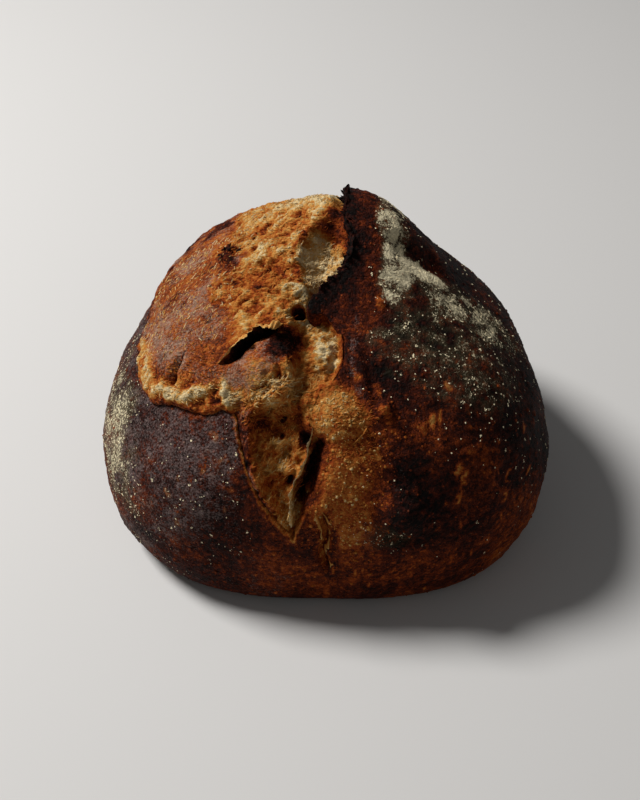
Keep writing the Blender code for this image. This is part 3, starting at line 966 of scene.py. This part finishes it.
def horns(roots, lengths, ways, curls, wide, steps=6, sides=6, flat=0.35):
    """Curled shreds: each is a flattened tube that tapers to a point along a parabola, from its root,
    along its way and bent by its curl. Returns places, faces and each vertex's share of the way."""
    t = np.linspace(0, 1, steps)
    reach = lengths[:, None] * t
    centre = roots[:, None] + ways[:, None] * reach[..., None] + curls[:, None] * (reach * t)[..., None]
    run = unit(np.gradient(centre, axis=1))
    first = unit(np.cross(run, np.broadcast_to([0.3, -0.2, 0.93], run.shape)))
    second = np.cross(run, first)
    turn = np.linspace(0, 2 * np.pi, sides, endpoint=False)
    girth = (wide[:, None] * (1 - t) ** 0.6 + 0.05)[..., None]
    places = (
        centre[:, :, None]
        + first[:, :, None] * (girth * np.cos(turn))[..., None]
        + second[:, :, None] * (flat * girth * np.sin(turn))[..., None]
    )
    tube, caps = tube_faces(steps, sides)
    offset = np.arange(len(roots))[:, None, None] * steps * sides
    faces = (tube + offset).reshape(-1, 4).tolist()
    for cap in caps:
        faces += (cap + offset[:, 0]).tolist()
    share = np.tile(np.repeat(t, sides), len(roots))
    return places.reshape(-1, 3), faces, share


def shred_piece(material):
    """Burnt shreds along the ear's rim, longest near its peak, and a few on the lobe."""
    rng = np.random.default_rng(170)
    at, u, v, left = walk(RIGHT_EDGE[2:8], 0.5)
    near_peak = bell(v - 12, 9) + 0.12 + 0.25 * falling(v, -4, 6)
    pick = rng.choice(len(at), EAR_SHREDS, p=near_peak / near_peak.sum())
    near_peak = near_peak[pick]
    u, v, left = u[pick] + rng.uniform(-2.4, 0.8, EAR_SHREDS), v[pick], left[pick]
    roots = crust_looks(u, v)[0]
    along_u, along_v, out = directions(u, v)
    inward = -in_space(along_u, along_v, left)
    ways = out * rng.uniform(0.3, 1, (EAR_SHREDS, 1)) + inward * rng.uniform(-0.2, 0.9, (EAR_SHREDS, 1))
    ways = unit(ways + along_v * rng.uniform(-0.8, 0.8, (EAR_SHREDS, 1)))
    curls = rng.uniform(-0.5, 0.5, (EAR_SHREDS, 3))
    lengths = rng.uniform(1, 2.6, EAR_SHREDS) * (0.7 + 0.6 * near_peak)
    wide = rng.uniform(0.6, 1.7, EAR_SHREDS)
    ear = horns(roots - out * 0.4, lengths, ways, curls, wide)
    u = rng.normal(-44, 1.8, LOBE_SHREDS)
    v = rng.normal(7, 3.6, LOBE_SHREDS)
    roots = crumb_looks(u, v)[0]
    along_u, along_v, out = directions(u, v)
    ways = out * 0.6 + along_u * rng.uniform(-1, 1, (LOBE_SHREDS, 1))
    ways = unit(ways + along_v * rng.uniform(-1, 1, (LOBE_SHREDS, 1)))
    lengths = rng.uniform(1, 2.8, LOBE_SHREDS)
    curls = rng.uniform(-0.4, 0.4, (LOBE_SHREDS, 3))
    wide = rng.uniform(0.6, 1.4, LOBE_SHREDS)
    lobe = horns(roots - out * 0.4, lengths, ways, curls, wide)
    parts = [(places, faces, {"bake": 0.9 + 0.1 * share}) for places, faces, share in (ear, lobe)]
    return make_piece("burnt_shreds", *gather(parts), material)


def strand_piece(material):
    """Crumb strands and flakes: thin fibres pulled across the torn top and the golden bulge, which
    lie on the surface and lift a little. Each has four sides and four steps, and is paler than the
    surface by a random amount."""
    zones = [
        # surface, middle, half sizes, count, angle, longest, how much paler than the surface
        (crumb_looks, (-22, 20), (24, 44), 1400, 12, 3.6, 0.14),
        (crumb_looks, (-64, -6), (26, 38), 1500, 50, 3, 0.5),
        (crumb_looks, (-66, -56), (18, 12), 620, -35, 3.2, 0.16),
        (crumb_looks, (-4, -56), (14, 17), 200, 20, 3, 0.06),
        (crumb_looks, (-24, -78), (20, 9), 620, 8, 4.2, 0.16),
        (crumb_looks, (-26, -110), (14, 30), 520, 60, 3.2, 0.16),
        (crumb_looks, (0, -14), (9, 16), 160, 85, 4, 0.06),
        (crust_looks, (6, -92), (19, 16), 620, 30, 2.4, 0.18),
    ]
    parts = []
    for k, (looks, centre, half, count, angle, longest, paler) in enumerate(zones):
        rng = np.random.default_rng(300 + k)
        u = centre[0] + half[0] * rng.uniform(-1, 1, count)
        v = centre[1] + half[1] * rng.uniform(-1, 1, count)
        torn, _ = inset(TEAR, u, v)
        kept = torn > 1.5 if looks is crumb_looks else torn < -1.5
        u, v = u[kept], v[kept]
        some = len(u)
        turn = np.radians(angle + rng.normal(0, 34, some))[:, None]
        along_u, along_v, out = directions(u, v)
        way = along_u * np.cos(turn) + along_v * np.sin(turn)
        way = unit(way + out * rng.uniform(0, 0.45, (some, 1)))
        curls = out * rng.uniform(-0.5, 0, (some, 1)) + along_u * rng.uniform(-0.3, 0.3, (some, 1))
        places, masks = looks(u, v)
        lengths = longest * rng.uniform(0.3, 1, some)
        wide = rng.uniform(0.1, 0.3, some)
        tone = np.clip(masks["bake"] - paler * rng.uniform(0, 1.4, some), 0.02, 1)
        places, faces, share = horns(
            places - out * 0.12, lengths, way, curls, wide, steps=4, sides=4, flat=0.7
        )
        parts.append((places, faces, {"bake": np.repeat(tone, len(share) // some)}))
    return make_piece("crumb_strands", *gather(parts), material)


# ---- materials

# Linear colours on the way from pale crumb to burnt black.
BROWNING = [
    (0.00, (0.72, 0.56, 0.31)),
    (0.12, (0.62, 0.35, 0.1)),
    (0.25, (0.56, 0.235, 0.05)),
    (0.4, (0.46, 0.135, 0.022)),
    (0.55, (0.31, 0.056, 0.009)),
    (0.68, (0.125, 0.021, 0.006)),
    (0.82, (0.042, 0.0085, 0.005)),
    (1.00, (0.006, 0.004, 0.0035)),
]
ASH = (0.21, 0.15, 0.14)
PALE_ASH = (0.38, 0.235, 0.165)
FLOUR = (0.93, 0.81, 0.54)
VEIL = (0.24, 0.2, 0.1)


def node(tree, kind, sockets=None, **settings):
    """A new node with its settings, and its input sockets linked or set."""
    made = tree.nodes.new(kind)
    for name, value in settings.items():
        setattr(made, name, value)
    for name, value in (sockets or {}).items():
        if isinstance(value, bpy.types.NodeSocket):
            tree.links.new(value, made.inputs[name])
        else:
            made.inputs[name].default_value = value
    return made


def maths(tree, operation, a, b=0, c=0, clamp=False):
    """One step of arithmetic on masks and numbers."""
    inputs = {0: a, 1: b, 2: c}
    return node(tree, "ShaderNodeMath", inputs, operation=operation, use_clamp=clamp).outputs[0]


def added(tree, mask, share, base, clamp=False):
    """A share of a mask, on top of a base."""
    return maths(tree, "MULTIPLY_ADD", mask, share, base, clamp)


def swung(tree, texture, share, base):
    """A base that swings both ways with a texture, whose mean is a half."""
    return added(tree, maths(tree, "SUBTRACT", texture, 0.5), share, base)


def above(tree, mask, level, steep):
    """0 where a mask is below a level, then steeply up to 1."""
    return maths(tree, "MULTIPLY", maths(tree, "SUBTRACT", mask, level), steep, clamp=True)


def mask_of(tree, name):
    """A mask that the mesh holds, 0 where it has none of that name."""
    return node(tree, "ShaderNodeAttribute", attribute_name=name).outputs["Fac"]


def speckle(tree, where, size_mm, detail, rough):
    """Noise from 0 to 1 with grains of a size."""
    sockets = {"Vector": where, "Scale": 1 / (size_mm * MM), "Detail": detail, "Roughness": rough}
    return node(tree, "ShaderNodeTexNoise", sockets).outputs[0]


def blend(tree, factor, a, b):
    """Colour a, changing to colour b with the factor."""
    mixer = node(tree, "ShaderNodeMix", data_type="RGBA")
    for socket, value in (("Factor", factor), ("A", a), ("B", b)):
        target = [s for s in mixer.inputs if s.name == socket and s.enabled][0]
        if isinstance(value, bpy.types.NodeSocket):
            tree.links.new(value, target)
        else:
            target.default_value = value
    return [s for s in mixer.outputs if s.enabled][0]


def cells_of(tree, where, size_mm):
    """A Voronoi pattern of a cell size: the distance from each cell's middle, and its random value."""
    cells = node(tree, "ShaderNodeTexVoronoi", {"Vector": where, "Scale": 1 / (size_mm * MM)})
    chance = node(tree, "ShaderNodeSeparateColor", {"Color": cells.outputs["Color"]}).outputs[0]
    return cells.outputs["Distance"], chance


def cell_spots(tree, where, size_mm, fill, keep):
    """Round spots, one in each kept cell of a Voronoi pattern: 1 in a spot's middle, 0 outside."""
    distance, chance = cells_of(tree, where, size_mm)
    kept = maths(tree, "LESS_THAN", chance, keep)
    return maths(tree, "MULTIPLY", above(tree, fill, distance, 5), kept)


def baked_material(name, grain_mm, bump_mm, roughness, mottle, fleck, fibre=1):
    """Baked dough: the bake mask and noise at four sizes pick a colour on the way from crumb to
    black. Light flecks, pale spots and upright streaks lighten it, and dark flecks darken it. Ash
    grains dull it, tan on pale crust and grey on dark; a thin veil and specks of flour lie on top.
    The same noise, rounded grains, spots, light flecks and flour give the bump."""
    material = bpy.data.materials.new(name)
    material.use_nodes = True
    tree = material.node_tree
    shader = tree.nodes["Principled BSDF"]
    baked, ash, floury, spotted, streaked = (
        mask_of(tree, mask) for mask in ("bake", "ash", "flour", "spots", "streaks")
    )
    where = node(tree, "ShaderNodeTexCoord").outputs["Object"]
    fibres = node(tree, "ShaderNodeMapping", {"Vector": where, "Scale": (fibre, 1, 1)}).outputs[0]
    upright = node(tree, "ShaderNodeMapping", {"Vector": where, "Scale": (1, 1, 0.3)}).outputs[0]
    coarse = speckle(tree, where, 6, 4, 0.65)
    middle = speckle(tree, fibres, 2.2, 3, 0.6)
    fine = speckle(tree, fibres, grain_mm, 3, 0.7)
    crumbs = speckle(tree, fibres, 0.75 * grain_mm, 1.5, 0.6)
    rounded, grain = cells_of(tree, where, 1.7 * grain_mm)
    spot = cell_spots(tree, where, 2.2, 0.36, maths(tree, "MULTIPLY", spotted, 0.6))
    streak = cell_spots(tree, upright, 3.4, 0.3, maths(tree, "MULTIPLY", streaked, 0.45))
    not_black = added(tree, baked, -7, 7, clamp=True)
    # Light flecks are painted highlights, standing in for glints on tiny blisters. Dark flecks are
    # painted shade in tiny pits.
    light = maths(tree, "MULTIPLY", above(tree, crumbs, 0.6, 9), not_black)
    dark = above(tree, 0.4, crumbs, 9)

    bake = baked
    for texture, share in ((coarse, 0.3), (middle, 0.8 * mottle), (fine, mottle), (grain, 0.18)):
        bake = swung(tree, texture, share, bake)
    for mark, share in ((light, -fleck), (dark, 0.6 * fleck), (spot, -0.16), (streak, -0.25)):
        bake = added(tree, mark, share, bake)
    ramp = node(tree, "ShaderNodeValToRGB", {"Fac": bake})
    stops = ramp.color_ramp.elements
    stops.remove(stops[1])
    for k, (at, colour) in enumerate(BROWNING):
        stop = stops[0] if k == 0 else stops.new(at)
        stop.position = at
        stop.color = (*colour, 1)

    sift = swung(tree, coarse, 0.55, speckle(tree, where, 1, 3, 0.75))
    dull = above(tree, sift, added(tree, ash, -0.33, 0.72), 3.6)
    burnt = added(tree, baked, 6, -3.9, clamp=True)
    film = blend(tree, burnt, (*PALE_ASH, 1), (*ASH, 1))
    colour = blend(tree, dull, ramp.outputs["Color"], film)
    haze = added(tree, floury, 0.6, -0.14, clamp=True)
    colour = blend(tree, haze, colour, (*VEIL, 1))
    dust = speckle(tree, where, 1.2, 4, 0.8)
    dust = above(tree, dust, added(tree, floury, -0.4, 0.76), 12)
    colour = blend(tree, dust, colour, (*FLOUR, 1))
    rough = added(tree, fine, 0.3, roughness - 0.15)
    rough = added(tree, dust, 0.3, rough, clamp=True)
    relief = fine
    for mark, share in ((rounded, -0.5), (middle, 1.2), (spot, 0.5), (light, 0.35), (dust, 0.25)):
        relief = added(tree, mark, share, relief)
    bump = node(tree, "ShaderNodeBump", {"Height": relief, "Strength": 1, "Distance": bump_mm * MM})
    tree.links.new(colour, shader.inputs["Base Color"])
    tree.links.new(rough, shader.inputs["Roughness"])
    tree.links.new(bump.outputs["Normal"], shader.inputs["Normal"])
    shader.inputs["Specular IOR Level"].default_value = 0.05
    return material


def plain_material(name, colour, roughness):
    """One colour and one roughness all over."""
    material = bpy.data.materials.new(name)
    material.use_nodes = True
    shader = material.node_tree.nodes["Principled BSDF"]
    shader.inputs["Base Color"].default_value = (*colour, 1)
    shader.inputs["Roughness"].default_value = roughness
    return material


# ---- floor, lights and camera


def add_floor():
    """A plain pale floor, far wider than the view."""
    mesh = bpy.data.meshes.new("floor")
    half = 6
    corners = [(-half, -half, 0), (half, -half, 0), (half, half, 0), (-half, half, 0)]
    mesh.from_pydata(corners, [], [(0, 1, 2, 3)])
    mesh.materials.append(plain_material("pale_floor", (0.62, 0.61, 0.6), 0.8))
    floor = bpy.data.objects.new("floor", mesh)
    bpy.context.scene.collection.objects.link(floor)


def aim(thing, target):
    """Turns a light or camera so that it looks at a point."""
    away = np.array(thing.location) - np.array(target)
    flat = np.hypot(away[0], away[1])
    thing.rotation_euler = (np.arctan2(flat, away[2]), 0, np.arctan2(away[0], -away[1]))


def add_light(name, place, power, size, colour):
    """A round soft light that looks at the loaf."""
    light = bpy.data.lights.new(name, "AREA")
    light.shape = "DISK"
    light.size = size
    light.energy = power
    light.color = colour
    lamp = bpy.data.objects.new(name, light)
    lamp.location = place
    aim(lamp, (0, 0, 0.07))
    bpy.context.scene.collection.objects.link(lamp)


def add_stage():
    """The floor, a window light from the left, a weak fill from the front and a dim, even sky."""
    add_floor()
    add_light("window", (-1.08, 0.34, 1.48), power=40, size=0.55, colour=(1, 0.99, 0.97))
    add_light("fill", (0.5, -1.6, 1.4), power=1.5, size=1.6, colour=(1, 0.97, 0.93))
    world = bpy.data.worlds.new("studio")
    world.use_nodes = True
    sky = world.node_tree.nodes["Background"].inputs
    sky["Color"].default_value = (0.84, 0.84, 0.84, 1)
    sky["Strength"].default_value = 0.11
    bpy.context.scene.world = world
    bpy.context.scene.view_settings.view_transform = "Standard"


def add_camera():
    """42 degrees above the table, 650 mm away, in line with the loaf's front."""
    tilt, distance = np.radians(42), 0.65
    target = np.array([-2.65, -7.3, 48]) * MM
    lens = bpy.data.cameras.new("camera")
    lens.lens = 56.3
    camera = bpy.data.objects.new("camera", lens)
    camera.location = target + distance * np.array([0, -np.cos(tilt), np.sin(tilt)])
    camera.rotation_euler = (np.pi / 2 - tilt, 0, 0)
    bpy.context.scene.collection.objects.link(camera)
    bpy.context.scene.camera = camera


def main():
    """Makes the pieces, lets them ride on the loaf's body, and sets the stage."""
    crust_look = baked_material(
        "dark_crust", grain_mm=0.9, bump_mm=1.4, roughness=0.66, mottle=0.36, fleck=0.2
    )
    crumb_look = baked_material(
        "torn_crumb", grain_mm=0.8, bump_mm=1.3, roughness=0.78, mottle=0.42, fleck=0.22, fibre=0.4
    )
    edge_look = baked_material(
        "torn_edge", grain_mm=0.6, bump_mm=0.4, roughness=0.78, mottle=0.22, fleck=0.05
    )
    flour_look = plain_material("dry_flour", FLOUR, roughness=0.9)
    body = crust_piece(crust_look)
    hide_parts("loaf")
    dressed = [
        (body, "dark_crust"),
        (crumb_piece(crumb_look), "golden_tear"),
        (edge_piece(edge_look), "golden_tear"),
        (shred_piece(edge_look), "char"),
        (strand_piece(edge_look), "golden_tear"),
        (blister_piece(crust_look), "dark_crust"),
        (flour_piece(flour_look), "flour"),
    ]
    for piece, slot in dressed:
        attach(piece, "root")
    add_stage()
    add_camera()


main()
